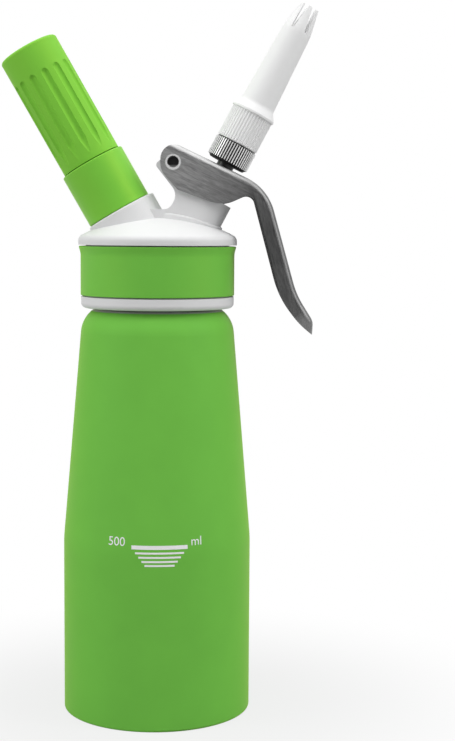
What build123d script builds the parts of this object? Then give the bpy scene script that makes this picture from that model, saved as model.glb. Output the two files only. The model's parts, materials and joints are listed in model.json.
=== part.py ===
from build123d import *
import os
from math import acos, cos, pi, radians, sin, sqrt, tan

# Cream whipper, half-litre class. Millimetres, +Z up, origin at the centre of the bottle's foot.
# +X points to the lever and the decorator tip, -X to the charger holder.

# Fits
press_gap = 0.02
running_gap = 0.06
thread_gap = 0.35
seam_gap = 0.2
band_gap = 0.6

# Small edge rounds
fine_edge = 0.3
soft_edge = 0.6

# Bottle
bottle_radius = 43.2
bottle_upright = 80.2
bottle_lean = 4.83
belly_round = 70.0
bottle_wall = 1.6
bottle_floor = 2.2
floor_round = 8.0
foot_round = 1.0
foot_width = 6.0
foot_recess = 1.2
shoulder_height = 188.4
shoulder_round = 14.0
neck_radius = 26.5
neck_wall = 2.4
neck_length = 20.6
neck_pitch = 4.0
neck_thread_depth = 1.1

# Seal between bottle and head
gasket_width = 4.2
gasket_thickness = 2.5

# Head: dome, skirt with its grip band, and the lower ring
dome_crown = 75.0
dome_height = 13.0
rim_radius = 36.3
rim_round = 3.2
rim_over_ceiling = 3.7
pad_rise = 2.7
pad_crown = 60.0
pad_margin = 1.1
pad_back = 21.0
pad_round = 0.8
band_radius = 35.2
band_thickness = 2.4
band_flare = 0.9
band_flare_length = 3.4
ring_radius = 35.0
ring_height = 5.2
ring_round = 2.2
skirt_drop = 1.9
skirt_gap = 0.8

# Charger side
charger_tilt = 29.8
charger_offset = 8.58
post_radius = 16.6
post_shift = 0.6
post_length = 17.7
post_round = 0.8
nipple_radius = 10.6
nipple_length = 16.2
nipple_pitch = 2.0
nipple_thread_depth = 0.6
flange_radius = 12.2
flange_depth = 9.0
gas_bore = 1.5
needle_radius = 0.9
needle_bore = 0.4
needle_reach = 4.0
needle_base_radius = 3.2
needle_base_length = 6.4
charger_seal_thickness = 1.6
charger_seat = 7.8
charger_radius = 8.9
charger_length = 65.3
charger_wall = 1.9
charger_neck_radius = 4.35
charger_neck_length = 7.0
charger_shoulder_length = 7.5
pierced_radius = 1.35
charger_gap = 0.4
collar_radius = 15.2
collar_length = 25.1
holder_wall = 2.3
holder_end_wall = 3.0
sleeve_radius = 13.95
sleeve_end_radius = 14.0
sleeve_length = 58.2
sleeve_gap = 0.5
sleeve_dome = 1.0
sleeve_round = 1.3
flute_count = 14
flute_turn = 22.7
flute_radius = 2.1
flute_depth = 0.95
flute_start = 2.5
flute_taper = 7.0
flute_end = 43.45
check_valve_radius = 4.6
check_valve_thickness = 1.2
check_valve_stem = 1.6
check_valve_depth = 5.0
check_valve_x = -10.5

# Valve side
valve_tilt = 27.9
valve_offset = 11.585
boss_radius = 11.3
boss_back = 12.7
boss_length = 25.2
seat_radius = 9.0
seat_depth = 8.0
seat_wall_height = 7.15
stem_radius = 4.0
stem_bore = 1.9
port_radius = 1.2
port_above_seat = 2.5
stem_head_radius = 6.2
stem_head_length = 3.8
stem_seal_thickness = 1.2
stem_thread_length = 7.0
o_ring_section = 0.46
o_ring_levels = (3.0, 12.0)
spring_wire = 1.3
spring_radius = 6.4
spring_turns = 4.5
spring_pocket = 7.2
cup_radius = 8.4
cup_thickness = 2.0

# Tip adapter and decorator tip
adapter_radius = 9.95
adapter_height = 10.2
adapter_chamfer = 1.1
adapter_over_web = 1.9
knurl_count = 50
knurl_depth = 0.55
spigot_radius = 7.4
spigot_length = 11.0
spigot_bore = 3.4
spigot_pitch = 2.0
spigot_thread_depth = 0.5
tip_length = 69.56
tip_collar_radius = 9.8
tip_collar_length = 15.0
tip_lip_radius = 10.3
tip_lip_height = 1.1
tip_neck_height = 3.6
tip_neck_round = 3.5
tip_root_radius = 8.05
tip_prong_radius = 6.75
tip_prong_round = 30.0
tip_end_radius = 4.45
tip_wall = 1.35
rib_count = 44
rib_depth = 0.4
prong_count = 6
prong_length = 12.0
prong_turn = 36.0
slit_root = 1.3
slit_mouth = 3.0

# Lever, drawn from its pivot with the valve axis upright
pivot_reach = 21.05
pivot_over_boss = 5.72
sheet = 1.6
cheek_gap = 0.4
fold_round = 2.8
web_over_pin = 7.95
web_rise = 2.7
web_length = 43.3
bend_round = 23.2
handle_drop = 46.5
handle_length = 49.7
handle_taper = 0.6
flare_drop = 29.8
flare_length = 14.2
flare_round = 39.0
end_drop = 62.1
end_length = 6.7
end_round = 6.0
end_margin = 1.5
rear_drop = 20.6
rear_behind_pin = 6.64
lobe_rise = 8.1
inner_flare_drop = 12.5
lobe_behind_bend = 14.58
lobe_under_bend = 16.91
lobe_round = 15.0
crook_behind_bend = 5.22
crook_under_bend = 5.02
crook_round = 3.9
heel_round = 2.0
pin_end_drop = 62.1
pin_end_reach = 5.7
pin_end_round = 6.3
pin_end_low_round = 7.8
inner_flare_round = 45.0
press_angle = 12.0
ear_radius = 5.0
ear_nose_behind_pin = 6.9
ear_nose_under_pin = 4.76
ear_nose_round = 1.7
ear_drop = 24.0
ear_root_round = 6.0
ear_toe_under_pin = 19.4
ear_toe_run = 16.0
ear_toe_round = 4.5
ear_step = 1.5

# Lever pin and its retaining clip
pin_radius = 2.8
pin_head_radius = 3.5
pin_head_height = 1.3
pin_hole_radius = 2.3
pin_hole_mouth = 2.8
pin_hole_depth = 2.5
pin_tail = 1.9
clip_radius = 4.6
clip_thickness = 0.8
clip_groove = 0.5
clip_offset = 0.3
clip_mouth = 3.4

# Levels that follow from the sizes above
neck_top = shoulder_height + neck_length
ceiling_height = neck_top + gasket_thickness
rim_height = ceiling_height + rim_over_ceiling
skirt_bottom = shoulder_height - skirt_drop
ring_top = skirt_bottom + ring_height
band_bottom = ring_top + band_gap
band_top = rim_height - band_gap
band_seat = band_radius - band_thickness
thread_bore = neck_radius + neck_thread_depth + thread_gap

# Frames of the two arms, both starting in the plane of the dome's rim
charger_lean = radians(charger_tilt)
valve_lean = radians(valve_tilt)
charger_frame = Plane(
    origin=(-charger_offset, 0, rim_height),
    x_dir=(cos(charger_lean), 0, sin(charger_lean)),
    z_dir=(-sin(charger_lean), 0, cos(charger_lean)),
)
valve_frame = Plane(
    origin=(valve_offset, 0, rim_height),
    x_dir=(cos(valve_lean), 0, -sin(valve_lean)),
    z_dir=(sin(valve_lean), 0, cos(valve_lean)),
)
pivot_height = boss_length + pivot_over_boss
pivot = valve_frame.from_local_coords(Vector(-pivot_reach, 0, pivot_height))
lever_frame = Plane(origin=pivot, x_dir=valve_frame.x_dir, z_dir=(0, -1, 0))

# Levels along the charger axis
holder_bottom = post_length + seam_gap
nipple_top = post_length + nipple_length
charger_start = post_length + charger_seat + charger_seal_thickness
charger_end = charger_start + charger_length
sleeve_start = holder_bottom + collar_length
sleeve_end = sleeve_start + sleeve_length
tube_radius = charger_radius + charger_gap + holder_wall

# Levels along the valve axis, with the lever's web where it crosses that axis
cheek_inside = boss_radius + cheek_gap
cheek_outside = cheek_inside + sheet
web_tilt = radians(web_rise)
web_inside = web_over_pin - sheet
web_top = pivot_height + web_over_pin / cos(web_tilt) + pivot_reach * tan(web_tilt)
spring_floor = boss_length - spring_pocket
saddle_lift = pivot_reach * radians(press_angle) / 2
saddle_level = pivot_height + saddle_lift
saddle_radius = web_inside + pivot_reach * sin(web_tilt) - saddle_lift * cos(web_tilt) - running_gap
cup_bottom = saddle_level - cup_thickness
adapter_bottom = web_top + adapter_over_web
adapter_top = adapter_bottom + adapter_height
tip_bottom = adapter_top + seam_gap
tip_top = tip_bottom + tip_length


def closed_outline(*corners):
    """Face through corners given as (x, y) or (x, y, round)."""
    points = [corner[:2] for corner in corners]
    rounds = [corner[2] if len(corner) > 2 else 0 for corner in corners]
    return make_face(FilletPolyline(*points, radius=rounds, close=True).edges())


def turned(*corners):
    """Solid of revolution about +Z through corners given as (radius, height) or (radius, height, round)."""
    return revolve(Plane.XZ * closed_outline(*corners), Axis.Z)


def rim_edges(solid, radius):
    """Level circles of one radius on a turned solid, lowest first."""
    circles = solid.edges().filter_by(GeomType.CIRCLE)
    return [edge for edge in circles.sort_by(Axis.Z) if abs(edge.radius - radius) < press_gap]


def rod(radius, bottom, top):
    """Round bar along +Z between two levels."""
    return Pos(0, 0, bottom) * Cylinder(radius, top - bottom, align=(Align.CENTER, Align.CENTER, Align.MIN))


def cross_rod(radius, start, end):
    """Round bar along +Y through the lever's pivot, between two distances from the middle plane."""
    bar = Cylinder(radius, end - start, align=(Align.CENTER, Align.CENTER, Align.MIN))
    return Plane(origin=(pivot.X, start, pivot.Z), z_dir=(0, 1, 0)) * bar


def toothed_bar(radius, depth, count, bottom, top):
    """Bar along +Z whose outline has straight teeth, each with a flat crest and a flat root."""
    root = radius - depth
    corners = []
    for tooth in range(count):
        for share, corner_radius in ((0, radius), (0.3, radius), (0.5, root), (0.8, root)):
            angle = 2 * pi * (tooth + share) / count
            corners.append((corner_radius * cos(angle), corner_radius * sin(angle)))
    section = make_face(Polyline(*corners, close=True).edges())
    return Pos(0, 0, bottom) * extrude(section, amount=top - bottom)


def thread_ridge(core, depth, pitch, bottom, top):
    """Helical ridge round a core along +Z, rooted a little inside the core."""
    root_half = 0.34 * pitch
    crest_half = 0.14 * pitch
    sink = 0.3 * depth
    path = Pos(0, 0, bottom + root_half) * Helix(pitch, top - bottom - 2 * root_half, core)
    tooth = Polyline(
        (-sink, -root_half), (depth, -crest_half), (depth, crest_half), (-sink, root_half), close=True
    )
    section_plane = Plane(origin=path @ 0, x_dir=(1, 0, 0), z_dir=path % 0)
    return sweep(section_plane * make_face(tooth.edges()), path, is_frenet=True)


def shoulder_arc(inset):
    """Radius and centre of the shoulder arc for the surface that lies inset from the bottle's outside."""
    lean = radians(bottle_lean)
    centre_z = shoulder_height - shoulder_round
    touch_z = centre_z + shoulder_round * sin(lean)
    touch_r = bottle_radius - (touch_z - bottle_upright) * tan(lean)
    return shoulder_round - inset, touch_r - shoulder_round * cos(lean), centre_z


def shoulder_radius_at(height):
    """Outer radius of the bottle's shoulder at a level."""
    radius, centre_r, centre_z = shoulder_arc(0)
    return centre_r + sqrt(radius**2 - (height - centre_z) ** 2)


def bottle_skin(inset, floor, corner_round, neck, top):
    """Solid inside one surface of the bottle: upright wall, leaning wall, round shoulder and neck."""
    lean = radians(bottle_lean)
    radius, centre_r, centre_z = shoulder_arc(inset)
    touch = (centre_r + radius * cos(lean), centre_z + radius * sin(lean))
    neck_angle = acos((neck - centre_r) / radius)
    middle_angle = (lean + neck_angle) / 2
    middle = (centre_r + radius * cos(middle_angle), centre_z + radius * sin(middle_angle))
    root = (neck, centre_z + radius * sin(neck_angle))
    wall_radius = bottle_radius - inset
    belly = bottle_upright - inset * tan(lean / 2)
    wall = FilletPolyline(
        (0, floor),
        (wall_radius, floor),
        (wall_radius, belly),
        touch,
        radius=(corner_round, belly_round - inset),
    )
    arc = ThreePointArc(touch, middle, root)
    close = Polyline(root, (neck, top), (0, top), (0, floor))
    return revolve(Plane.XZ * make_face([*wall.edges(), arc, *close.edges()]), Axis.Z)


def make_bottle():
    """One-piece aluminium bottle with a ring foot, a threaded neck and an open mouth."""
    outside = bottle_skin(0, 0, foot_round, neck_radius, neck_top)
    floor = foot_recess + bottle_floor
    inside = bottle_skin(bottle_wall, floor, floor_round, neck_radius - neck_wall, neck_top + seam_gap)
    recess = rod(bottle_radius - foot_width, 0, foot_recess)
    recess = chamfer(recess.edges().group_by(Axis.Z)[-1], 0.8 * foot_recess)
    thread_top = neck_top - neck_pitch / 2
    thread_bottom = shoulder_height + neck_pitch / 2
    thread = thread_ridge(neck_radius, neck_thread_depth, neck_pitch, thread_bottom, thread_top)
    return outside + thread - inside - recess


def make_head_gasket():
    """Flat rubber ring on the bottle's rim."""
    outer = neck_radius + neck_thread_depth / 2
    return rod(outer, neck_top, ceiling_height) - rod(outer - gasket_width, neck_top, ceiling_height)


def dome_cap():
    """Shallow spherical cap on top of the head."""
    crown = rim_height + dome_height
    edge = crown - dome_crown + sqrt(dome_crown**2 - rim_radius**2)
    middle_r = rim_radius / 2
    middle = (middle_r, crown - dome_crown + sqrt(dome_crown**2 - middle_r**2))
    arc = ThreePointArc((0, crown), middle, (rim_radius, edge))
    close = Polyline((rim_radius, edge), (rim_radius, rim_height), (0, rim_height), (0, crown))
    return revolve(Plane.XZ * make_face([arc, *close.edges()]), Axis.Z)


def foot_pad():
    """Raised pad on the dome round the boss's foot, thin towards the handle, run into the post behind."""
    half = boss_radius + pad_margin
    outline = Pos((half - pad_back) / 2, 0) * SlotOverall(half + pad_back, 2 * half)
    column = valve_frame * extrude(outline, amount=boss_length)
    ball = Pos(0, 0, rim_height + dome_height + pad_rise - pad_crown) * Sphere(pad_crown)
    pad = column & ball
    return fillet(pad.faces().sort_by(Axis.Z)[-1].edges(), pad_round)


def valve_boss():
    """Upright boss of the valve: half round towards the handle, square behind."""
    section = Pos(-boss_back / 2, 0) * Rectangle(boss_back, 2 * boss_radius) + Circle(boss_radius)
    return valve_frame * extrude(section, amount=boss_length)


def pivot_ear():
    """Lug behind the boss that carries the lever's pin, with a level toe that reaches the post."""
    back = pivot_reach - boss_back
    front = pivot_reach - spring_radius - 1.5 * spring_wire
    foot = -pivot_over_boss - 0.8 * boss_length
    root = -ear_nose_under_pin - (back + ear_nose_behind_pin) * tan(radians(ear_drop))
    toe_end = -ear_toe_under_pin - ear_toe_run * tan(valve_lean)
    side = closed_outline(
        (-ear_nose_behind_pin, -ear_nose_under_pin, ear_nose_round),
        (back, root, ear_root_round),
        (back, -ear_toe_under_pin, ear_toe_round),
        (back - ear_toe_run, toe_end),
        (back - ear_toe_run, toe_end - ear_toe_round),
        (front, foot),
        (front, -pivot_over_boss - ear_step),
        (ear_radius, 0),
        (-ear_radius, 0),
    )
    side += Circle(ear_radius)
    return extrude(lever_frame * side, amount=boss_radius, both=True)


def make_head_body():
    """White head: dome, skirt, lower ring, charger post, valve boss and pivot ear in one moulding."""
    dome = dome_cap()
    dome = fillet(rim_edges(dome, rim_radius)[-1], rim_round)
    skirt = turned(
        (0, skirt_bottom),
        (ring_radius, skirt_bottom, ring_round),
        (ring_radius, ring_top),
        (band_seat, ring_top),
        (band_seat, rim_height + rim_round),
        (0, rim_height + rim_round),
    )
    post = rod(post_radius, 0, post_length)
    post = charger_frame * (Pos(post_shift, 0, 0) * fillet(rim_edges(post, post_radius)[-1], post_round))
    arms = foot_pad() + post + valve_boss() + pivot_ear()
    above_rim = Pos(0, 0, rim_height) * Cylinder(
        2 * rim_radius, 4 * boss_length, align=(Align.CENTER, Align.CENTER, Align.MIN)
    )
    head = skirt + dome + (arms & above_rim)
    head -= rod(thread_bore, shoulder_height + seam_gap, ceiling_height)
    head -= rod(shoulder_radius_at(skirt_bottom) + skirt_gap, skirt_bottom, shoulder_height + seam_gap)
    head += valve_frame * rod(seat_radius, -seat_depth, seat_wall_height)
    head -= valve_frame * rod(stem_radius + running_gap, -seat_depth, boss_length)
    head -= valve_frame * rod(spring_radius + spring_wire, spring_floor, boss_length)
    head -= charger_frame * rod(flange_radius + press_gap, post_length - flange_depth, post_length)
    duct_top = charger_frame.from_local_coords(Vector(0, 0, post_length - flange_depth))
    duct_roof = ceiling_height + check_valve_depth + gas_bore
    head -= Pos(check_valve_x, 0) * rod(check_valve_stem, ceiling_height, duct_roof)
    duct_start = Vector(check_valve_x, 0, duct_roof)
    duct_frame = Plane(origin=duct_start, z_dir=duct_top - duct_start)
    head -= duct_frame * rod(gas_bore, -gas_bore / 2, (duct_top - duct_start).length + gas_bore)
    head -= cross_rod(pin_radius, -boss_radius, boss_radius)
    return head


def make_grip_band():
    """Green silicone band round the head's skirt, flared at its upper edge."""
    flare_level = band_top - band_flare_length
    return turned(
        (band_seat + press_gap, band_bottom),
        (band_radius, band_bottom, fine_edge),
        (band_radius, flare_level, 2 * band_flare_length),
        (band_radius + band_flare, band_top, fine_edge),
        (band_seat + press_gap, band_top),
    )


def make_charger_nipple():
    """Metal insert in the charger post, with the holder's thread and the charger's seat."""
    seat = post_length + charger_seat
    body = rod(flange_radius, post_length - flange_depth, post_length)
    body += rod(nipple_radius, post_length, nipple_top)
    thread_bottom = post_length + nipple_pitch
    thread_top = nipple_top - nipple_pitch / 2
    body += thread_ridge(nipple_radius, nipple_thread_depth, nipple_pitch, thread_bottom, thread_top)
    body -= rod(charger_neck_radius + charger_gap, seat, nipple_top)
    body -= rod(needle_base_radius, seat - needle_base_length, seat)
    body -= rod(gas_bore, post_length - flange_depth, seat)
    return charger_frame * body


def make_piercing_pin():
    """Hollow needle that pierces the charger when the holder is screwed home."""
    seat = post_length + charger_seat
    tip = seat + charger_seal_thickness + needle_reach
    needle = turned(
        (0, seat - needle_base_length),
        (needle_base_radius, seat - needle_base_length),
        (needle_base_radius, seat),
        (needle_radius, seat),
        (needle_radius, tip - 2 * needle_radius),
        (needle_bore, tip),
        (0, tip),
    )
    return charger_frame * (needle - rod(needle_bore, seat - needle_base_length, tip))


def make_charger_seal():
    """Rubber washer round the needle that the charger's neck is pressed against."""
    seat = post_length + charger_seat
    top = seat + charger_seal_thickness
    outer = charger_neck_radius + charger_gap - press_gap
    return charger_frame * (rod(outer, seat, top) - rod(needle_radius + press_gap, seat, top))


def make_gas_charger():
    """Steel cream charger, pierced at its neck, with a round closed end."""
    neck_end = charger_start + charger_neck_length
    body_start = neck_end + charger_shoulder_length
    inner_neck = charger_start + charger_wall
    inner_radius = charger_radius - charger_wall
    outside = turned(
        (0, charger_start),
        (charger_neck_radius, charger_start, soft_edge),
        (charger_neck_radius, neck_end, 1.5),
        (charger_radius, body_start, 4.0),
        (charger_radius, charger_end, 0.97 * charger_radius),
        (0, charger_end),
    )
    inside = turned(
        (0, inner_neck),
        (charger_neck_radius - charger_wall, inner_neck),
        (charger_neck_radius - charger_wall, neck_end, 1.5),
        (inner_radius, body_start + charger_wall / 2, 4.0),
        (inner_radius, charger_end - charger_wall, 0.97 * inner_radius),
        (0, charger_end - charger_wall),
    )
    return charger_frame * (outside - inside - rod(pierced_radius, charger_start, inner_neck))


def make_charger_holder():
    """Green holder: threaded collar at the post and a closed tube round the charger."""
    thread_end = nipple_top + seam_gap + charger_gap
    tube_end = charger_end + seam_gap + holder_end_wall
    outside = turned(
        (0, holder_bottom),
        (collar_radius, holder_bottom, soft_edge),
        (collar_radius, sleeve_start, soft_edge),
        (tube_radius, sleeve_start),
        (tube_radius, tube_end, 1.5),
        (0, tube_end),
    )
    thread = rod(nipple_radius + nipple_thread_depth + thread_gap, holder_bottom, thread_end)
    chamber = rod(charger_radius + charger_gap, thread_end, charger_end + seam_gap)
    return charger_frame * (outside - thread - chamber)


def make_holder_grip():
    """Fluted silicone sleeve with a domed end, pushed over the holder's tube."""
    tube_end = charger_end + seam_gap + holder_end_wall
    crown = sleeve_end + sleeve_dome
    crown_radius = (sleeve_end_radius**2 + sleeve_dome**2) / (2 * sleeve_dome)
    middle_r = sleeve_end_radius / 2
    middle = (middle_r, crown - crown_radius + sqrt(crown_radius**2 - middle_r**2))
    arc = ThreePointArc((0, crown), middle, (sleeve_end_radius, sleeve_end))
    start = sleeve_start + sleeve_gap
    close = Polyline((sleeve_end_radius, sleeve_end), (sleeve_radius, start), (0, start), (0, crown))
    sleeve = revolve(Plane.XZ * make_face([arc, *close.edges()]), Axis.Z)
    sleeve = fillet(rim_edges(sleeve, sleeve_end_radius)[-1], sleeve_round)
    full = start + flute_start + flute_taper
    top = start + flute_end
    point_length = 1.3 * flute_taper
    point_radius = flute_radius - flute_depth * point_length / flute_taper
    point = Cone(point_radius, flute_radius, point_length, align=(Align.CENTER, Align.CENTER, Align.MAX))
    flute = rod(flute_radius, full, top) + Pos(0, 0, full) * point + Pos(0, 0, top) * Sphere(flute_radius)
    flute_reach = sleeve_radius + flute_radius - flute_depth
    for index in range(flute_count):
        sleeve -= Rot(0, 0, flute_turn + index * 360 / flute_count) * (Pos(flute_reach, 0, 0) * flute)
    return charger_frame * (sleeve - rod(tube_radius + press_gap, start, tube_end))


def make_check_valve():
    """Rubber mushroom that lets gas into the bottle and not back."""
    cap = rod(check_valve_radius, ceiling_height - check_valve_thickness, ceiling_height)
    stem = rod(check_valve_stem - press_gap, ceiling_height, ceiling_height + check_valve_depth)
    vent = rod(check_valve_stem / 3, ceiling_height, ceiling_height + check_valve_depth)
    return Pos(check_valve_x, 0) * (cap + stem - vent)


def o_ring_groove(level):
    """Groove in the stem for one sealing ring."""
    bottom = level - o_ring_section - running_gap
    top = level + o_ring_section + running_gap
    depth = 2 * o_ring_section
    return rod(stem_radius + depth, bottom, top) - rod(stem_radius - depth, bottom, top)


def make_valve_stem():
    """Hollow valve stem: sealing head in the bottle, cross port, ring grooves and the adapter's screw."""
    head_top = -seat_depth - stem_seal_thickness
    stem_top = adapter_bottom + stem_thread_length
    port_level = -seat_depth + port_above_seat
    stem = turned(
        (0, head_top - stem_head_length),
        (stem_head_radius, head_top - stem_head_length, 2 * soft_edge),
        (stem_head_radius, head_top),
        (stem_radius, head_top),
        (stem_radius, stem_top),
        (0, stem_top),
    )
    stem -= rod(stem_bore, port_level - 1.4 * port_radius, stem_top)
    port = Pos(0, 0, port_level) * (Rot(90, 0, 0) * Cylinder(port_radius, 4 * stem_radius))
    stem -= port
    for level in o_ring_levels:
        stem -= o_ring_groove(level)
    return valve_frame * stem


def make_stem_seal():
    """Rubber washer on the stem's head that closes against the seat."""
    bottom = -seat_depth - stem_seal_thickness
    washer = rod(stem_head_radius, bottom, -seat_depth) - rod(stem_radius + press_gap, bottom, -seat_depth)
    return valve_frame * washer


def make_stem_o_rings():
    """Two rings that seal the stem in its bore."""
    ring_radius_mid = stem_radius - o_ring_section + running_gap / 2
    rings = [Pos(0, 0, level) * Torus(ring_radius_mid, o_ring_section) for level in o_ring_levels]
    return valve_frame * Compound(rings)


def coil_point(angle, pitch, bottom):
    """Point and direction on the spring's centre line at an angle from its start."""
    rise = pitch / (2 * pi)
    point = Vector(spring_radius * cos(angle), spring_radius * sin(angle), bottom + rise * angle)
    return point, Vector(-spring_radius * sin(angle), spring_radius * cos(angle), rise).normalized()


def coil_step(start, start_way, end, end_way):
    """Two arcs that join two points of the coil and leave them along the coil."""
    span = end - start
    ways = start_way + end_way
    along = span.dot(ways)
    slack = 4 - ways.dot(ways)
    reach = (sqrt(along**2 + slack * span.dot(span)) - along) / slack
    leave = start + start_way * reach
    arrive = end - end_way * reach
    meet = (leave + arrive) * 0.5
    return TangentArc(start, meet, tangent=start_way), TangentArc(meet, end, tangent=arrive - leave)


def make_valve_spring():
    """Compression spring between the boss and the spring cup, wound as one helix."""
    bottom = spring_floor + spring_wire / 2 + press_gap
    top = cup_bottom - spring_wire / 2 - press_gap
    pitch = (top - bottom) / spring_turns
    quarter = pi / 2
    knots = [coil_point(step * quarter, pitch, bottom) for step in range(int(4 * spring_turns) + 1)]
    arcs = []
    for (start, start_way), (end, end_way) in zip(knots[:-1], knots[1:]):
        arcs.extend(coil_step(start, start_way, end, end_way))
    first, first_way = knots[0]
    wire = Plane(origin=first, z_dir=first_way) * Circle(spring_wire / 2)
    fine = [coil_point(step * quarter / 8, pitch, bottom)[0] for step in range(int(32 * spring_turns) + 1)]
    gaps = [(fine[j] - fine[i]).length for i in range(len(fine)) for j in range(i + 16, len(fine))]
    print("spring: least gap between turns", round(min(gaps) - spring_wire, 3), "mm")
    return valve_frame * sweep(wire, Wire(arcs))


def make_spring_cup():
    """Yoke on the stem: a plate on the spring with a round saddle that the lever's web presses on."""
    plate = rod(cup_radius, cup_bottom, cup_bottom + cup_thickness)
    saddle = Pos(0, 0, saddle_level) * (Rot(90, 0, 0) * Cylinder(saddle_radius, 2 * cup_radius))
    cup = plate + (saddle & rod(cup_radius, cup_bottom, saddle_level + 2 * saddle_radius))
    top = saddle_level + 2 * saddle_radius
    return valve_frame * (cup - rod(stem_radius + press_gap, cup_bottom, top))


def make_tip_adapter():
    """Knurled metal adapter: screwed on the stem below, threaded spigot for the tip above."""
    spigot_top = adapter_top + spigot_length
    core = adapter_radius - knurl_depth
    knurl_bottom = adapter_bottom + adapter_chamfer
    knurl_top = adapter_top - adapter_chamfer / 3
    body = toothed_bar(adapter_radius, knurl_depth, knurl_count, knurl_bottom, knurl_top)
    body += turned(
        (0, adapter_bottom),
        (core - adapter_chamfer, adapter_bottom),
        (core, knurl_bottom),
        (core, adapter_top),
        (spigot_radius, adapter_top),
        (spigot_radius, spigot_top, soft_edge),
        (0, spigot_top),
    )
    thread_bottom = adapter_top + spigot_pitch
    thread_top = spigot_top - spigot_pitch / 2
    body += thread_ridge(spigot_radius, spigot_thread_depth, spigot_pitch, thread_bottom, thread_top)
    stem_top = adapter_bottom + stem_thread_length
    body -= rod(stem_radius + press_gap, adapter_bottom, stem_top)
    body -= rod(spigot_bore, stem_top, spigot_top)
    return valve_frame * body


def make_decorator_tip():
    """White tip: ribbed collar, lip, long tapered tube and a ring of prongs parted by slits."""
    collar_top = tip_bottom + tip_collar_length
    lip_top = collar_top + tip_lip_height
    tube_start = lip_top + tip_neck_height
    prong_start = tip_top - prong_length
    bore = spigot_radius + spigot_thread_depth + thread_gap
    bore_top = adapter_top + spigot_length + seam_gap
    core = tip_collar_radius - rib_depth
    body = turned(
        (0, tip_bottom),
        (core, tip_bottom, fine_edge),
        (core, collar_top),
        (tip_lip_radius, collar_top, fine_edge),
        (tip_lip_radius, lip_top, soft_edge),
        (tip_root_radius, tube_start, tip_neck_round),
        (tip_prong_radius, prong_start, tip_prong_round),
        (tip_end_radius, tip_top, fine_edge),
        (0, tip_top),
    )
    body += toothed_bar(tip_collar_radius, rib_depth, rib_count, tip_bottom + rib_depth, collar_top)
    body -= rod(bore, tip_bottom, bore_top)
    body -= turned(
        (0, bore_top),
        (bore, bore_top),
        (tip_root_radius - tip_wall, tube_start),
        (tip_prong_radius - tip_wall, prong_start),
        (tip_end_radius - tip_wall, tip_top),
        (0, tip_top),
    )
    slit_side = closed_outline(
        (-slit_root / 2, prong_start, slit_root / 4),
        (slit_root / 2, prong_start, slit_root / 4),
        (slit_mouth / 2, tip_top),
        (-slit_mouth / 2, tip_top),
    )
    slit = extrude(Plane.YZ * slit_side, amount=2 * tip_prong_radius)
    for index in range(prong_count):
        body -= Rot(0, 0, index * 360 / prong_count + prong_turn - 90) * slit
    return valve_frame * body


def way(degrees_up):
    """Unit direction in the lever's side view."""
    return Vector(cos(radians(degrees_up)), sin(radians(degrees_up)))


def meeting(start, start_way, end, end_way):
    """Point where two lines of the lever's side view meet."""
    cross = start_way.X * end_way.Y - start_way.Y * end_way.X
    gap = end - start
    return start + start_way * ((gap.X * end_way.Y - gap.Y * end_way.X) / cross)


def lever_back(inset):
    """Foot, corners and tip of the lever's back, moved in by an inset."""
    web_way = way(web_rise)
    handle_way = way(-handle_drop)
    flare_way = way(-flare_drop)
    end_way = way(-end_drop)
    web_foot = Vector(-web_way.Y, web_way.X) * web_over_pin
    bend = web_foot + web_way * web_length
    flare = bend + handle_way * handle_length
    end = flare + flare_way * flare_length
    runs = [(web_foot, web_way), (bend, handle_way), (flare, flare_way), (end, end_way)]
    moved = [(at + Vector(along.Y, -along.X) * inset, along) for at, along in runs]
    corners = [meeting(*moved[i], *moved[i + 1]) for i in range(3)]
    tip = moved[3][0] + end_way * end_length
    return moved[0][0], corners, tip


def lever_side():
    """Side view of the lever: round end at the pin, web, bend, flared handle and the cheeks' lower edge."""
    foot, (bend, flare, end), tip = lever_back(0)
    lobe = bend - Vector(lobe_behind_bend, lobe_under_bend)
    crook = bend - Vector(crook_behind_bend, crook_under_bend)
    pin_end_way = way(-pin_end_drop)
    pin_end_at = way(-pin_end_drop - 90) * pin_end_reach
    rear_way = way(-rear_drop)
    rear_at = way(-rear_drop - 90) * rear_behind_pin
    pin_end = meeting(foot, way(web_rise), pin_end_at, pin_end_way)
    pin_end_low = meeting(pin_end_at, pin_end_way, rear_at, rear_way)
    inner_flare = meeting(crook, way(-handle_drop - handle_taper), tip, way(-inner_flare_drop))
    heel = meeting(rear_at, rear_way, lobe, way(lobe_rise))
    return closed_outline(
        (pin_end.X, pin_end.Y, pin_end_round),
        (bend.X, bend.Y, bend_round),
        (flare.X, flare.Y, flare_round),
        (end.X, end.Y, end_round),
        (tip.X, tip.Y),
        (inner_flare.X, inner_flare.Y, inner_flare_round),
        (crook.X, crook.Y, crook_round),
        (lobe.X, lobe.Y, lobe_round),
        (heel.X, heel.Y, heel_round),
        (pin_end_low.X, pin_end_low.Y, pin_end_low_round),
    )


def lever_under(inset):
    """Side view of all that lies under the lever's back moved in by an inset, open towards the bottle."""
    foot, (bend, flare, end), tip = lever_back(inset)
    behind = foot - way(web_rise) * (3 * web_over_pin)
    past_tip = tip + way(-end_drop) * (2 * end_length)
    far_below = Vector(behind.X, past_tip.Y - handle_length)
    return closed_outline(
        (behind.X, behind.Y),
        (bend.X, bend.Y, bend_round - inset),
        (flare.X, flare.Y, flare_round + inset),
        (end.X, end.Y, end_round - inset),
        (past_tip.X, past_tip.Y),
        (far_below.X, far_below.Y),
    )


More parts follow.
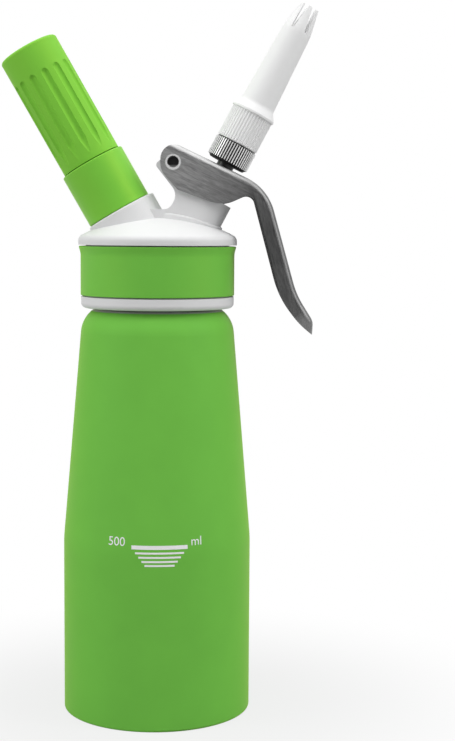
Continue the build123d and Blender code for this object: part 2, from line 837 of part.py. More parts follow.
def lever_plan(half_width, end_trim):
    """Column with the lever's outline seen square to its flare: straight sides and a half-round end."""
    tip = lever_back(0)[2]
    flare_way = way(-flare_drop)
    reach = tip.dot(flare_way) + end_margin - end_trim
    length = 3 * reach
    bar = Pos(reach - length / 2, 0) * RectangleRounded(length, 2 * half_width, 0.999 * half_width)
    flare_x = lever_frame.from_local_coords(flare_way) - pivot
    plan = Plane(origin=pivot, x_dir=flare_x, z_dir=flare_x.cross(Vector(0, 1, 0)))
    return extrude(plan * bar, amount=length, both=True)


def fold_edges(solid):
    """Edges of the lever along which its back turns into the cheeks and the rim."""
    outward = lever_frame.from_local_coords(way(90 + (web_rise - handle_drop) / 2)) - pivot
    edges = [edge for face in solid.faces() if face.normal_at().dot(outward) > 0.5 for edge in face.edges()]
    return [edge for edge in edges if abs((edge % 0.5).Y) < 0.95]


def make_lever():
    """Brushed steel lever: a channel of sheet with two cheeks at the pin and a flared, rounded handle."""
    outside = extrude(lever_frame * lever_under(0), amount=cheek_outside, both=True)
    outside &= lever_plan(cheek_outside, 0)
    outside = fillet(fold_edges(outside), fold_round)
    inside = extrude(lever_frame * lever_under(sheet), amount=cheek_inside, both=True)
    inside &= lever_plan(cheek_inside, sheet)
    lever = outside & extrude(lever_frame * lever_side(), amount=2 * cheek_outside, both=True)
    lever -= inside
    slot_start = pivot_reach - stem_radius - 5 * cheek_gap - saddle_lift
    slot_end = pivot_reach + stem_radius + 2 * cheek_gap
    slot_width = 2 * (stem_radius + 1.2 * cheek_gap)
    slot_middle = (slot_start + slot_end) / 2 - pivot_reach
    slot = Pos(slot_middle, 0) * SlotOverall(slot_end - slot_start, slot_width)
    slot_column = extrude(slot, amount=2 * web_over_pin + pivot_reach / 2)
    lever -= valve_frame * (Pos(0, 0, pivot_height) * slot_column)
    lever -= cross_rod(pin_radius + running_gap, -2 * cheek_outside, 2 * cheek_outside)
    return lever


def make_lever_pin():
    """Pivot pin with a hollow head in front and a clip groove behind."""
    head_back = -cheek_outside - running_gap
    head_front = head_back - pin_head_height
    tail = cheek_outside + pin_tail
    groove = cheek_outside + clip_offset
    pin = cross_rod(pin_radius, head_back, tail) + cross_rod(pin_head_radius, head_front, head_back)
    hole = turned(
        (0, 0),
        (pin_hole_mouth, 0),
        (pin_hole_radius, pin_hole_mouth - pin_hole_radius),
        (pin_hole_radius, pin_hole_depth),
        (0, pin_hole_depth),
    )
    pin -= Plane(origin=(pivot.X, head_front, pivot.Z), z_dir=(0, 1, 0)) * hole
    groove_bar = cross_rod(pin_radius + clip_groove, groove, groove + clip_thickness)
    return pin - (groove_bar - cross_rod(pin_radius - clip_groove, groove, groove + clip_thickness))


def make_pin_clip():
    """Open retaining clip in the pin's groove behind the lever."""
    start = cheek_outside + clip_offset + press_gap
    end = cheek_outside + clip_offset + clip_thickness - press_gap
    clip = cross_rod(clip_radius, start, end)
    clip -= cross_rod(pin_radius - clip_groove + press_gap, start, end)
    below = (Align.CENTER, Align.CENTER, Align.MAX)
    mouth = Box(clip_mouth, 2 * clip_thickness, 2 * clip_radius, align=below)
    return clip - Pos(pivot.X, (start + end) / 2, pivot.Z) * mouth


nodes = {
    "bottle": make_bottle(),
    "head_gasket": make_head_gasket(),
    "head_body": make_head_body(),
    "grip_band": make_grip_band(),
    "charger_nipple": make_charger_nipple(),
    "piercing_pin": make_piercing_pin(),
    "charger_seal": make_charger_seal(),
    "gas_charger": make_gas_charger(),
    "charger_holder": make_charger_holder(),
    "holder_grip": make_holder_grip(),
    "check_valve": make_check_valve(),
    "valve_stem": make_valve_stem(),
    "stem_seal": make_stem_seal(),
    "stem_o_rings": make_stem_o_rings(),
    "valve_spring": make_valve_spring(),
    "spring_cup": make_spring_cup(),
    "tip_adapter": make_tip_adapter(),
    "decorator_tip": make_decorator_tip(),
    "lever": make_lever(),
    "lever_pin": make_lever_pin(),
    "pin_clip": make_pin_clip(),
}

os.makedirs("parts", exist_ok=True)
for name, solid in nodes.items():
    export_step(solid, f"parts/{name}.step")
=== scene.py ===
import json
import math
import bpy
import numpy as np
from mathutils import Matrix, Vector


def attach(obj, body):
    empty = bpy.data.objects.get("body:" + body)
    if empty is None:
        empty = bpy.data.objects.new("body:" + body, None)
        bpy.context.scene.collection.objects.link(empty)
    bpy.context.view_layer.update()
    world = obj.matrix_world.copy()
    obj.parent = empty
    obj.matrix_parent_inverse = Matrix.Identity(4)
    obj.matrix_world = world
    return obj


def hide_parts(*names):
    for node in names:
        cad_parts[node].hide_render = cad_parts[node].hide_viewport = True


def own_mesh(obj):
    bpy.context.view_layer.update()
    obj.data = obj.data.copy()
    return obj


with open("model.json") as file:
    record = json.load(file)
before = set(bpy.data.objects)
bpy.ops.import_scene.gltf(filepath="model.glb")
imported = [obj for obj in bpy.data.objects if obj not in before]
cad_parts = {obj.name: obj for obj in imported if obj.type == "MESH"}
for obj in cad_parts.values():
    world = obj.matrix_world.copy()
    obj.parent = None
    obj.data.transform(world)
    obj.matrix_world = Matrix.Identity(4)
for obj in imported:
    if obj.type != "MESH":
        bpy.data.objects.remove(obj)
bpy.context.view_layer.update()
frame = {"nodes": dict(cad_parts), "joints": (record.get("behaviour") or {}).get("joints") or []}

mm = 0.001
cad = frame["nodes"]
jointOf = {joint["name"]: joint for joint in frame["joints"]}
leverPin = np.array(jointOf["lever_press"]["pos_m"])
valveFoot = np.array(jointOf["tip_turn"]["pos_m"])
valveUp = np.array(jointOf["tip_turn"]["axis"])
print("frame loaded:", len(cad), "nodes")


def inMetres(sizes):
    return [size * mm for size in sizes]


# a socket takes a link from another node, or a plain value
def plug(tree, socket, value):
    if isinstance(value, bpy.types.NodeSocket):
        tree.links.new(value, socket)
    else:
        socket.default_value = value


def addNode(tree, kind, wires=None, **settings):
    node = tree.nodes.new(kind)
    for key, value in settings.items():
        setattr(node, key, value)
    for key, value in (wires or {}).items():
        plug(tree, node.inputs[key], value)
    return node


def mathNode(tree, operation, *values):
    return addNode(tree, "ShaderNodeMath", dict(enumerate(values)), operation=operation).outputs[0]


def vectorNode(tree, operation, *vectors):
    node = addNode(tree, "ShaderNodeVectorMath", dict(enumerate(vectors)), operation=operation)
    return node.outputs["Value" if operation in ("DOT_PRODUCT", "LENGTH") else "Vector"]


def scaleColour(tree, colour, factor):
    return addNode(tree, "ShaderNodeVectorMath", {0: colour, "Scale": factor}, operation="SCALE").outputs[0]


def mixColour(tree, factor, first, second):
    return addNode(tree, "ShaderNodeMixRGB", {"Fac": factor, "Color1": first, "Color2": second}).outputs[0]


def mixValue(tree, factor, first, second):
    return addNode(tree, "ShaderNodeMix", {"Factor": factor, "A": first, "B": second}).outputs["Result"]


def rangeOf(tree, value, span, to=(0.0, 1.0), smooth=False):
    wires = {"Value": value, "From Min": span[0], "From Max": span[1], "To Min": to[0], "To Max": to[1]}
    kind = "SMOOTHSTEP" if smooth else "LINEAR"
    return addNode(tree, "ShaderNodeMapRange", wires, interpolation_type=kind).outputs[0]


def noiseOf(tree, vector, scale, detail, rough):
    wires = {"Vector": vector, "Scale": scale, "Detail": detail, "Roughness": rough}
    return addNode(tree, "ShaderNodeTexNoise", wires).outputs["Fac"]


def newGroup(name, inputs, outputs):
    group = bpy.data.node_groups.new(name, "ShaderNodeTree")
    group.interface.new_socket("Vector", in_out="INPUT", socket_type="NodeSocketVector")
    for label in inputs:
        group.interface.new_socket(label, in_out="INPUT", socket_type="NodeSocketFloat")
    for label in outputs:
        group.interface.new_socket(label, in_out="OUTPUT", socket_type="NodeSocketFloat")
    return group, group.nodes.new("NodeGroupInput").outputs, group.nodes.new("NodeGroupOutput").inputs


# moulded skin: broad soft mottling for the tone, fine grain for the height
skinValues = {
    "mottle": (3.0, 0.55), "grain": (2.0, 0.5),  # detail and roughness of each noise
    "middle": 0.5, "span": (0.3, 0.7),  # the noise's mean, and where most of it lies
}
skinGroup, skinIn, skinOut = newGroup(
    "mouldedSkin", ["Mottle Scale", "Grain Scale", "Tone"], ["Tone", "Mottle", "Height"])
mottle = noiseOf(skinGroup, skinIn["Vector"], skinIn["Mottle Scale"], *skinValues["mottle"])
grain = noiseOf(skinGroup, skinIn["Vector"], skinIn["Grain Scale"], *skinValues["grain"])
centred = mathNode(skinGroup, "SUBTRACT", mottle, skinValues["middle"])
tone = mathNode(skinGroup, "MULTIPLY_ADD", centred, skinIn["Tone"], 1.0)
for label, value in {"Tone": tone, "Mottle": mottle, "Height": grain}.items():
    plug(skinGroup, skinOut[label], value)

# brushed lines: noise drawn out along the vector's x, long scratches over short ones
brushValues = {
    "fine": (3.0, 0.65), "coarse": (2.0, 0.5),  # detail and roughness of each noise
    "coarseScale": 0.27, "coarseShare": 0.25, "span": (0.3, 0.7),
}
brushGroup, brushIn, brushOut = newGroup("brushedLines", ["Density", "Stretch"], ["Streak", "Height"])
drawnBy = addNode(brushGroup, "ShaderNodeCombineXYZ", {"X": brushIn["Stretch"], "Y": 1.0, "Z": 1.0})
drawn = vectorNode(brushGroup, "MULTIPLY", brushIn["Vector"], drawnBy.outputs[0])
fine = noiseOf(brushGroup, drawn, brushIn["Density"], *brushValues["fine"])
coarseScale = mathNode(brushGroup, "MULTIPLY", brushIn["Density"], brushValues["coarseScale"])
coarse = noiseOf(brushGroup, drawn, coarseScale, *brushValues["coarse"])
finePart = mathNode(brushGroup, "MULTIPLY", fine, 1.0 - brushValues["coarseShare"])
streak = mathNode(brushGroup, "MULTIPLY_ADD", coarse, brushValues["coarseShare"], finePart)
for label, value in {"Streak": streak, "Height": fine}.items():
    plug(brushGroup, brushOut[label], value)


# a look without grain takes only the tone and the mottling
def skinOf(tree, place, look):
    wires = {"Vector": place, "Mottle Scale": look["mottle"], "Tone": look["tone"]}
    if "grain" in look:
        wires["Grain Scale"] = look["grain"]
    return addNode(tree, "ShaderNodeGroup", wires, node_tree=skinGroup).outputs


def linesOf(tree, vector, look):
    wires = {"Vector": vector, "Density": look["density"], "Stretch": look["stretch"]}
    return addNode(tree, "ShaderNodeGroup", wires, node_tree=brushGroup).outputs


def newMaterial(name):
    material = bpy.data.materials.new(name)
    material.use_nodes = True
    tree = material.node_tree
    tree.nodes.clear()
    shader = tree.nodes.new("ShaderNodeBsdfPrincipled")
    addNode(tree, "ShaderNodeOutputMaterial", {"Surface": shader.outputs[0]})
    return material, tree, shader, tree.nodes.new("ShaderNodeTexCoord").outputs["Object"]


# colour and roughness vary over the surface, the height gives the bump, and plain numbers go on the shader
def dressShader(tree, shader, colour, rough, height, look):
    bump = addNode(tree, "ShaderNodeBump", {"Height": height, "Distance": look["bump"] * mm, "Strength": 1.0})
    for label, value in {"Base Color": colour, "Roughness": rough, "Normal": bump.outputs[0]}.items():
        plug(tree, shader.inputs[label], value)
    for label, value in look["set"].items():
        shader.inputs[label].default_value = value


# one moulded or coated finish: two tones mixed by the mottling, roughness and grain from the skin group;
# a coat that ends at some height leaves bare metal above it
def skinMaterial(name, look):
    material, tree, shader, place = newMaterial(name)
    skin = skinOf(tree, place, look)
    colour = scaleColour(tree, mixColour(tree, skin["Mottle"], look["dark"], look["light"]), skin["Tone"])
    rough = rangeOf(tree, skin["Mottle"], skinValues["span"], look["rough"])
    if "bare" in look:
        bare = look["bare"]
        height = addNode(tree, "ShaderNodeSeparateXYZ", {0: place}).outputs["Z"]
        onMetal = rangeOf(tree, height, inMetres(bare["from"]))
        colour = mixColour(tree, onMetal, colour, bare["colour"])
        rough = mixValue(tree, onMetal, rough, bare["rough"])
        plug(tree, shader.inputs["Metallic"], onMetal)
    dressShader(tree, shader, colour, rough, skin["Height"], look)
    return material


coatLook = {
    "dark": (0.177, 0.547, 0.075, 1), "light": (0.193, 0.59, 0.08, 1),
    "mottle": 45.0, "grain": 2400.0, "tone": 0.05, "rough": (0.45, 0.53), "bump": 0.012,
    "bare": {"from": (185.0, 185.2), "colour": (0.55, 0.55, 0.56, 1), "rough": 0.3},
    "set": {"Specular IOR Level": 0.05,
            "Sheen Weight": 0.3, "Sheen Roughness": 0.4, "Sheen Tint": (0.85, 1.0, 0.02, 1)},
}
bandLook = {
    "dark": (0.155, 0.535, 0.074, 1), "light": (0.167, 0.568, 0.078, 1),
    "mottle": 70.0, "grain": 3600.0, "tone": 0.05, "rough": (0.55, 0.65), "bump": 0.02,
    "set": {"Specular IOR Level": 0.5, "Specular Tint": (1.0, 0.75, 0.04, 1),
            "Sheen Weight": 0.25, "Sheen Roughness": 0.4, "Sheen Tint": (0.8, 1.0, 0.02, 1)},
}
sleeveLook = dict(bandLook, dark=(0.193, 0.58, 0.059, 1), light=(0.208, 0.615, 0.063, 1))
holderLook = {
    "dark": (0.192, 0.595, 0.064, 1), "light": (0.204, 0.62, 0.068, 1),
    "mottle": 60.0, "grain": 2800.0, "tone": 0.04, "rough": (0.42, 0.5), "bump": 0.01,
    "set": {"Specular IOR Level": 0.45, "Specular Tint": (1.0, 0.7, 0.02, 1),
            "Sheen Weight": 0.2, "Sheen Roughness": 0.4, "Sheen Tint": (0.8, 1.0, 0.02, 1)},
}
whiteLook = {
    "dark": (0.76, 0.76, 0.765, 1), "light": (0.8, 0.8, 0.805, 1),
    "mottle": 40.0, "grain": 2000.0, "tone": 0.02, "rough": (0.46, 0.54), "bump": 0.006,
    "set": {"Specular IOR Level": 0.2},
}
tipLook = dict(whiteLook, dark=(0.9, 0.9, 0.9, 1), light=(0.94, 0.94, 0.94, 1),
               set={"Specular IOR Level": 0.3})
rubberLook = {
    "dark": (0.012, 0.012, 0.013, 1), "light": (0.022, 0.022, 0.023, 1),
    "mottle": 120.0, "grain": 5000.0, "tone": 0.1, "rough": (0.55, 0.7), "bump": 0.02,
    "set": {"Specular IOR Level": 0.35},
}
stemLook = {
    "dark": (0.01, 0.01, 0.011, 1), "light": (0.018, 0.018, 0.02, 1),
    "mottle": 90.0, "grain": 3500.0, "tone": 0.1, "rough": (0.3, 0.4), "bump": 0.008,
    "set": {"Specular IOR Level": 0.5},
}
printLook = {
    "dark": (0.96, 0.95, 0.96, 1), "light": (1.0, 0.99, 1.0, 1),
    "mottle": 400.0, "grain": 6000.0, "tone": 0.04, "rough": (0.4, 0.5), "bump": 0.004,
    "set": {"Specular IOR Level": 0.4},
}
finishes = {name: skinMaterial(name, look) for name, look in {
    "greenCoat": coatLook, "greenBand": bandLook, "greenSleeve": sleeveLook, "greenPlastic": holderLook,
    "whitePlastic": whiteLook, "whiteTip": tipLook, "blackRubber": rubberLook, "blackStem": stemLook,
    "whitePrint": printLook}.items()}


# bare metal: colour, roughness and height from brushed lines
def metalMaterial(name, look):
    material, tree, shader, place = newMaterial(name)
    lines = linesOf(tree, place, look)
    colour = mixColour(tree, rangeOf(tree, lines["Streak"], brushValues["span"]), look["dark"], look["light"])
    colour = scaleColour(tree, colour, skinOf(tree, place, look)["Tone"])
    rough = rangeOf(tree, lines["Streak"], brushValues["span"], look["rough"])
    dressShader(tree, shader, colour, rough, lines["Height"], look)
    return material


# how far a point lies past a start, along one direction
def wayPast(tree, place, start, way):
    return vectorNode(tree, "DOT_PRODUCT", vectorNode(tree, "SUBTRACT", place, start), way)


# lever sheet: lines along the web and along the handle, mixed over the bend; painted shade darkens it away
# from the pin, and a painted highlight lightens the handle again at its end, with painted shade along its
# inner edge
def leverMaterial(name, look):
    material, tree, shader, place = newMaterial(name)
    webDown, handleDown = math.radians(look["webDown"]), math.radians(look["handleDown"])
    webWay, bendWay, handleWay = (
        (math.cos(down), 0.0, -math.sin(down)) for down in (webDown, (webDown + handleDown) / 2, handleDown))
    edgeWay = (math.sin(handleDown), 0.0, math.cos(handleDown))
    half = look["bendHalf"] * mm
    pastBend = wayPast(tree, place, inMetres(look["bendAt"]), bendWay)
    onHandle = rangeOf(tree, pastBend, (-half, half), smooth=True)
    lines = []
    for down in (webDown, handleDown):
        turned = addNode(tree, "ShaderNodeMapping", {"Vector": place, "Rotation": (0.0, -down, 0.0)})
        lines.append(linesOf(tree, turned.outputs[0], look))
    streak = mixValue(tree, onHandle, lines[0]["Streak"], lines[1]["Streak"])
    height = mixValue(tree, onHandle, lines[0]["Height"], lines[1]["Height"])
    # painted shade: the colour darkens with distance from the pin
    pastPin = wayPast(tree, place, leverPin, webWay)
    pinFalloffShade = rangeOf(tree, pastPin, (0.0, look["shadeOver"] * mm), (1.0, look["shadeTo"]), True)
    crook = inMetres(look["crookAt"])
    # painted highlight: the handle's colour lightens towards its end
    down = wayPast(tree, place, crook, handleWay)
    endHighlight = rangeOf(tree, down, inMetres(look["endFrom"]), (1.0, look["endHighlight"]), True)
    # painted shade: the colour darkens along the handle's inner edge
    inward = wayPast(tree, place, crook, edgeWay)
    innerEdgeShade = rangeOf(tree, inward, inMetres(look["edgeFrom"]), (look["edgeShade"], 1.0), True)
    handleLightAndShade = mathNode(tree, "MULTIPLY", endHighlight, mixValue(tree, onHandle, 1.0, innerEdgeShade))
    level = mathNode(tree, "MULTIPLY", skinOf(tree, place, look)["Tone"], pinFalloffShade)
    level = mathNode(tree, "MULTIPLY", level, handleLightAndShade)
    colour = mixColour(tree, rangeOf(tree, streak, look["streakSpan"]), look["dark"], look["light"])
    colour = scaleColour(tree, colour, level)
    rough = rangeOf(tree, streak, brushValues["span"], look["rough"])
    dressShader(tree, shader, colour, rough, height, look)
    return material


# metal with painted shade in its hollows: bright at the crest's distance from an axis and dark at the root's;
# a look may add a bright core, brightness past one place along the axis, painted shade before another, and a
# painted glint at the bottom
def hollowMaterial(name, look, foot, along):
    material, tree, shader, place = newMaterial(name)
    away = vectorNode(tree, "SUBTRACT", place, foot)
    radius = vectorNode(tree, "LENGTH", vectorNode(tree, "CROSS_PRODUCT", away, along))
    passed = vectorNode(tree, "DOT_PRODUCT", away, along)
    # painted shade: the colour goes from bright at the crest to near-black at the root
    crest = rangeOf(tree, radius, inMetres((look["root"], look["crest"])), smooth=True)
    hollowShade = look["groove"]
    if "core" in look:
        crest = mathNode(tree, "MAXIMUM", crest, mathNode(tree, "LESS_THAN", radius, look["core"] * mm))
    if "until" in look:
        crest = mathNode(tree, "MAXIMUM", crest, mathNode(tree, "GREATER_THAN", passed, look["until"] * mm))
    # painted shade on the end face before a place along the axis
    if "endShade" in look:
        pastEnd = rangeOf(tree, passed, inMetres(look["endShade"]), smooth=True)
        crest = mathNode(tree, "MULTIPLY", crest, pastEnd)
    # painted glint: the hollow's lower part takes a lighter colour
    if "glint" in look:
        rise = addNode(tree, "ShaderNodeSeparateXYZ", {0: away}).outputs["Z"]
        lit = rangeOf(tree, rise, inMetres(look["glintFrom"]), (1.0, 0.0), True)
        hollowShade = mixColour(tree, lit, look["groove"], look["glint"])
    skin = skinOf(tree, place, look)
    colour = scaleColour(tree, mixColour(tree, crest, hollowShade, look["bright"]), skin["Tone"])
    rough = rangeOf(tree, crest, (0.0, 1.0), look["rough"])
    dressShader(tree, shader, colour, rough, skin["Height"], look)
    return material


leverLook = {
    "dark": (0.31, 0.31, 0.31, 1), "light": (0.5, 0.5, 0.5, 1), "streakSpan": (0.34, 0.66),
    "webDown": 25.2, "handleDown": 75.0, "bendAt": (46.5, 0.0, 240.0), "bendHalf": 5.0,
    # painted light: shade away from the pin, a highlight at the handle's end, shade along the handle's inner
    # edge
    "shadeOver": 55.0, "shadeTo": 0.31, "crookAt": (43.05, 0.0, 239.14),
    "endFrom": (45.0, 75.0), "endHighlight": 1.6, "edgeFrom": (0.0, 0.9), "edgeShade": 0.35,
    "density": 2300.0, "stretch": 0.09, "mottle": 60.0, "tone": 0.12, "rough": (0.3, 0.46), "bump": 0.05,
    "set": {"Metallic": 1.0},
}
# knurl: painted shade in the grooves and on the underside
knurlLook = {
    "groove": (0.002, 0.002, 0.002, 1), "bright": (0.97, 0.97, 0.97, 1),
    "core": 9.1, "root": 9.6, "crest": 9.84, "endShade": (-9.6, -9.2),
    "mottle": 90.0, "grain": 4000.0, "tone": 0.08, "rough": (0.5, 0.3), "bump": 0.004,  # rough at root, crest
    "set": {"Metallic": 0.3},
}
# pin: painted shade inside its hollow, with a painted glint at the hollow's lower part
pinLook = {
    "groove": (0.006, 0.006, 0.006, 1), "bright": (0.86, 0.86, 0.86, 1),
    "glint": (0.3, 0.3, 0.3, 1), "glintFrom": (-1.9, -0.9),
    "root": 2.55, "crest": 2.8, "until": 0.0,
    "mottle": 90.0, "grain": 4000.0, "tone": 0.05, "rough": (0.5, 0.2), "bump": 0.003,  # rough at root, crest
    "set": {"Metallic": 0.25},
}
brightLook = {
    "dark": (0.62, 0.62, 0.62, 1), "light": (0.76, 0.76, 0.76, 1),
    "density": 3000.0, "stretch": 0.2, "mottle": 80.0, "tone": 0.06, "rough": (0.16, 0.26), "bump": 0.004,
    "set": {"Metallic": 1.0},
}
springLook = dict(brightLook, dark=(0.4, 0.4, 0.41, 1), light=(0.55, 0.55, 0.56, 1), rough=(0.24, 0.34))
chargerLook = dict(brightLook, dark=(0.5, 0.5, 0.51, 1), light=(0.62, 0.62, 0.63, 1), rough=(0.22, 0.32))
finishes.update({name: metalMaterial(name, look) for name, look in {
    "brightMetal": brightLook, "springSteel": springLook, "chargerSteel": chargerLook}.items()})
finishes["brushedSteel"] = leverMaterial("brushedSteel", leverLook)
finishes["knurledMetal"] = hollowMaterial("knurledMetal", knurlLook, valveFoot, valveUp)
finishes["hollowPin"] = hollowMaterial("hollowPin", pinLook, leverPin, (0.0, 1.0, 0.0))

finishOf = {
    "greenCoat": ["bottle"],
    "greenBand": ["grip_band"],
    "greenSleeve": ["holder_grip"],
    "greenPlastic": ["charger_holder"],
    "whitePlastic": ["head_body"],
    "whiteTip": ["decorator_tip"],
    "brushedSteel": ["lever"],
    "knurledMetal": ["tip_adapter"],
    "hollowPin": ["lever_pin"],
    "brightMetal": ["charger_nipple", "piercing_pin", "spring_cup", "pin_clip"],
    "chargerSteel": ["gas_charger"],
    "blackStem": ["valve_stem"],
    "springSteel": ["valve_spring"],
    "blackRubber": ["head_gasket", "charger_seal", "check_valve", "stem_seal", "stem_o_rings"],
}
for finish, nodeNames in finishOf.items():
    for nodeName in nodeNames:
        slots = cad[nodeName].data.materials
        slots.clear()
        slots.append(finishes[finish])
print("finishes:", len(finishes))


def addPiece(name, points, faces, finish, body, smooth=True):
    mesh = bpy.data.meshes.new(name)
    mesh.from_pydata(points.tolist(), [], faces)
    mesh.polygons.foreach_set("use_smooth", [smooth] * len(mesh.polygons))
    mesh.materials.append(finishes[finish])
    piece = bpy.data.objects.new(name, mesh)
    bpy.context.scene.collection.objects.link(piece)
    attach(piece, body)
    return piece


# tube along a path: each ring is the path's point plus the radius times
# (cosine of the turn times the side vector plus sine of the turn times the up vector), with a fan at each end
def tubeSurface(path, side, up, radius, around):
    turn = np.linspace(0.0, 2 * np.pi, around, endpoint=False)[None, :, None]
    rings = path[:, None] + radius * (np.cos(turn) * side[:, None] + np.sin(turn) * up[:, None])
    points = np.concatenate([rings.reshape(-1, 3), path[:1], path[-1:]])
    count = len(path)
    i, j = np.meshgrid(np.arange(count - 1), np.arange(around), indexing="ij")
    k = (j + 1) % around
    quads = np.stack([i * around + j, i * around + k, (i + 1) * around + k, (i + 1) * around + j], axis=-1)
    ends = np.arange(around)
    ahead = (ends + 1) % around
    last = (count - 1) * around
    startCap = np.stack([ends, np.full(around, count * around), ahead], axis=-1)
    endCap = np.stack([last + ends, last + ahead, np.full(around, count * around + 1)], axis=-1)
    return points, quads.reshape(-1, 4).tolist() + startCap.tolist() + endCap.tolist()


# valve spring: a helix round the valve's axis, as far along it as the solid spring
springValues = {"radius": 6.4, "wire": 1.3, "turns": 4.5, "steps": 40, "around": 16}
solidSpring = np.empty(3 * len(cad["valve_spring"].data.vertices))
cad["valve_spring"].data.vertices.foreach_get("co", solidSpring)
reach = (solidSpring.reshape(-1, 3) - valveFoot) @ valveUp
wireHalf = springValues["wire"] / 2 * mm
turns = springValues["turns"]
angle = np.linspace(0.0, 2 * np.pi * turns, int(turns * springValues["steps"]) + 1)
level = reach.min() + wireHalf + (reach.max() - reach.min() - 2 * wireHalf) * angle / angle[-1]
sideX = np.array([valveUp[2], 0.0, -valveUp[0]])
sideY = np.cross(valveUp, sideX)
outward = np.cos(angle)[:, None] * sideX + np.sin(angle)[:, None] * sideY
path = valveFoot + level[:, None] * valveUp + springValues["radius"] * mm * outward
tangent = np.gradient(path, axis=0)
tangent /= np.linalg.norm(tangent, axis=1, keepdims=True)
points, faces = tubeSurface(path, outward, np.cross(tangent, outward), wireHalf, springValues["around"])
spring = addPiece("coil_spring", points, faces, "springSteel", "head")
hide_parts("valve_spring")
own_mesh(spring)
print("spring:", len(points), "points")

# fill mark: flat outlines wrapped on the bottle; a mark's x is the way round and its z the height on the wall
bottleValues = {"radius": 43.2, "upright": 80.2, "lean": 4.83, "bellyRound": 70.0}
markValues = {
    "middle": 3.1, "lift": 0.012, "thick": 0.02,
    "bars": [(83.27, 1.75, 25.2), (80.76, 0.85, 21.8), (78.86, 0.85, 18.9),
             (77.0, 0.85, 16.0), (75.25, 0.85, 13.3)],  # height, how tall, how wide
    "barSteps": 24,
    "words": [("500", -19.7, 85.3, 3.9), ("ml", 16.9, 85.5, 3.9)],  # where across, height, how tall
    "capitalShare": 0.7,  # a capital's height as a share of the text's size
}


# wall radius: upright below the belly, a straight lean above it, and one arc that touches both
def wallRadius(height):
    radius, upright, bellyRound = (bottleValues[key] for key in ("radius", "upright", "bellyRound"))
    lean = math.radians(bottleValues["lean"])
    start = upright - bellyRound * math.tan(lean / 2)
    arcRise = bellyRound * math.sin(lean)
    inArc = np.clip(height - start, 0.0, arcRise)
    arc = radius - bellyRound + np.sqrt(bellyRound**2 - inArc**2)
    leaning = radius - (height - upright) * math.tan(lean)
    return np.where(height > start + arcRise, leaning, arc)


def wrapOnBottle(flat):
    way = (flat[:, 0] + markValues["middle"]) / bottleValues["radius"]
    out = wallRadius(flat[:, 1]) + markValues["lift"]
    return np.stack([out * np.sin(way), -out * np.cos(way), flat[:, 1]], axis=1) * mm


def addMark(name, flat, faces):
    piece = addPiece(name, wrapOnBottle(flat), faces, "whitePrint", "bottle", False)
    shell = piece.modifiers.new("shell", "SOLIDIFY")
    shell.thickness, shell.offset = markValues["thick"] * mm, 1.0


steps = markValues["barSteps"]
first = 2 * np.arange(steps)
barFaces = np.stack([first, first + 2, first + 3, first + 1], axis=1).tolist()
for number, (height, tall, wide) in enumerate(markValues["bars"], 1):
    edges = [height - tall / 2, height + tall / 2]
    across, up = np.meshgrid(np.linspace(-wide / 2, wide / 2, steps + 1), edges, indexing="ij")
    addMark("fill_bar_%d" % number, np.stack([across.ravel(), up.ravel()], axis=1), barFaces)
for word, at, height, tall in markValues["words"]:
    text = bpy.data.curves.new("mark_text", "FONT")
    text.body, text.size = word, tall / markValues["capitalShare"]
    text.align_x, text.align_y = "CENTER", "CENTER"
    textObject = bpy.data.objects.new("mark_text", text)
    bpy.context.scene.collection.objects.link(textObject)
    bpy.context.view_layer.update()
    shaped = textObject.evaluated_get(bpy.context.evaluated_depsgraph_get())
    textMesh = bpy.data.meshes.new_from_object(shaped)
    flat = np.empty(3 * len(textMesh.vertices))
    textMesh.vertices.foreach_get("co", flat)
    flat = flat.reshape(-1, 3)[:, :2] + (at, height)
    addMark("mark_" + word, flat, [list(face.vertices) for face in textMesh.polygons])
    bpy.data.objects.remove(textObject)
    bpy.data.curves.remove(text)
    bpy.data.meshes.remove(textMesh)
print("fill mark:", len(markValues["bars"]), "bars,", len(markValues["words"]), "words")

# pale floor, pure white to the camera away from the object, with the object's shadow close to it
floorValues = {"size": 8.0, "white": 0.42, "nearGlow": 0.8, "glowFrom": (0.05, 0.2)}
half = floorValues["size"] / 2
floorMesh = bpy.data.meshes.new("floor")
floorMesh.from_pydata([(-half, -half, 0), (half, -half, 0), (half, half, 0), (-half, half, 0)],
                      [], [(0, 1, 2, 3)])
floor = bpy.data.objects.new("floor", floorMesh)
bpy.context.scene.collection.objects.link(floor)
floorMaterial = bpy.data.materials.new("paleFloor")
floorMaterial.use_nodes = True
tree = floorMaterial.node_tree
tree.nodes.clear()
white = floorValues["white"]
matt = addNode(tree, "ShaderNodeBsdfDiffuse", {"Color": (white, white, white, 1)})
glow = addNode(tree, "ShaderNodeEmission", {"Color": (1, 1, 1, 1), "Strength": 1.0})
rays = addNode(tree, "ShaderNodeLightPath")
spot = addNode(tree, "ShaderNodeTexCoord")
away = vectorNode(tree, "LENGTH", spot.outputs["Object"])
clearOf = rangeOf(tree, away, floorValues["glowFrom"], (floorValues["nearGlow"], 1.0), True)
mirrored = mathNode(tree, "MAXIMUM", rays.outputs["Is Glossy Ray"], rays.outputs["Is Transmission Ray"])
direct = mathNode(tree, "MAXIMUM", rays.outputs["Is Camera Ray"], mirrored)
seen = mathNode(tree, "MULTIPLY", direct, clearOf)
both = addNode(tree, "ShaderNodeMixShader", {0: seen, 1: matt.outputs[0], 2: glow.outputs[0]})
addNode(tree, "ShaderNodeOutputMaterial", {"Surface": both.outputs[0]})
floorMesh.materials.append(floorMaterial)

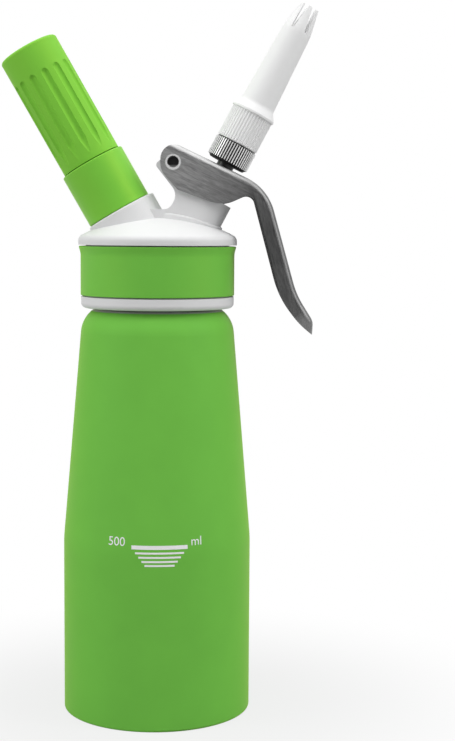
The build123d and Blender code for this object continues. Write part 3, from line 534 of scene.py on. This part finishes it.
# the world is white to the camera, grey and brighter overhead for diffuse light,
# and darker towards the viewer for gloss
worldValues = {"ambient": (0.06, 0.45), "frontGloss": 0.12, "frontFrom": (0.45, 0.95)}
world = bpy.data.worlds.new("studio")
bpy.context.scene.world = world
world.use_nodes = True
tree = world.node_tree
tree.nodes.clear()
rays = addNode(tree, "ShaderNodeLightPath")
direction = addNode(tree, "ShaderNodeTexCoord")
towards = addNode(tree, "ShaderNodeSeparateXYZ", {0: direction.outputs["Generated"]})
front = mathNode(tree, "MULTIPLY", towards.outputs["Y"], -1.0)
gloss = rangeOf(tree, front, worldValues["frontFrom"], (1.0, worldValues["frontGloss"]), True)
glossLevel = mathNode(tree, "MULTIPLY", rays.outputs["Is Glossy Ray"], gloss)
clear = mathNode(tree, "MAXIMUM", rays.outputs["Is Camera Ray"], rays.outputs["Is Transmission Ray"])
ambient = rangeOf(tree, towards.outputs["Z"], (0.0, 1.0), worldValues["ambient"])
diffuseLevel = mathNode(tree, "MULTIPLY", rays.outputs["Is Diffuse Ray"], ambient)
level = mathNode(tree, "MAXIMUM", mathNode(tree, "MAXIMUM", clear, glossLevel), diffuseLevel)
sky = addNode(tree, "ShaderNodeBackground", {"Color": (1, 1, 1, 1), "Strength": level})
addNode(tree, "ShaderNodeOutputWorld", {"Surface": sky.outputs[0]})

lampValues = {
    "overhead": {"at": (0.1, -0.2, 1.05), "to": (0.0, 0.0, 0.2), "size": (1.8, 1.4), "power": 10.3},
    "leftSide": {"at": (-1.1, -0.4, 0.68), "to": (0.0, 0.0, 0.2), "size": (0.6, 1.0), "power": 6.0},
    "rightSide": {"at": (1.1, -0.4, 0.68), "to": (0.0, 0.0, 0.2), "size": (0.6, 1.0), "power": 5.5},
}
for name, lamp in lampValues.items():
    data = bpy.data.lights.new(name, "AREA")
    data.shape = "RECTANGLE"
    data.size, data.size_y = lamp["size"]
    data.energy = lamp["power"]
    light = bpy.data.objects.new(name, data)
    light.location = lamp["at"]
    light.rotation_mode = "QUATERNION"
    light.rotation_quaternion = (Vector(lamp["to"]) - Vector(lamp["at"])).to_track_quat("-Z", "Y")
    bpy.context.scene.collection.objects.link(light)

cameraValues = {
    "at": (0.03235, -0.699, 0.2231), "down": 5.356, "roll": 0.35,
    "focalPixels": 1520.0, "tall": 741.0, "sensor": 36.0, "clip": (0.01, 50.0),
}
cameraData = bpy.data.cameras.new("camera")
cameraData.sensor_width = cameraValues["sensor"]
cameraData.lens = cameraValues["focalPixels"] / cameraValues["tall"] * cameraValues["sensor"]
cameraData.clip_start, cameraData.clip_end = cameraValues["clip"]
camera = bpy.data.objects.new("camera", cameraData)
camera.location = cameraValues["at"]
pitched = Matrix.Rotation(math.radians(90.0 - cameraValues["down"]), 3, "X")
camera.rotation_euler = (pitched @ Matrix.Rotation(math.radians(cameraValues["roll"]), 3, "Z")).to_euler()
bpy.context.scene.collection.objects.link(camera)
bpy.context.scene.camera = camera
bpy.context.scene.view_settings.view_transform = "Standard"
print("stage, lamps and camera set")
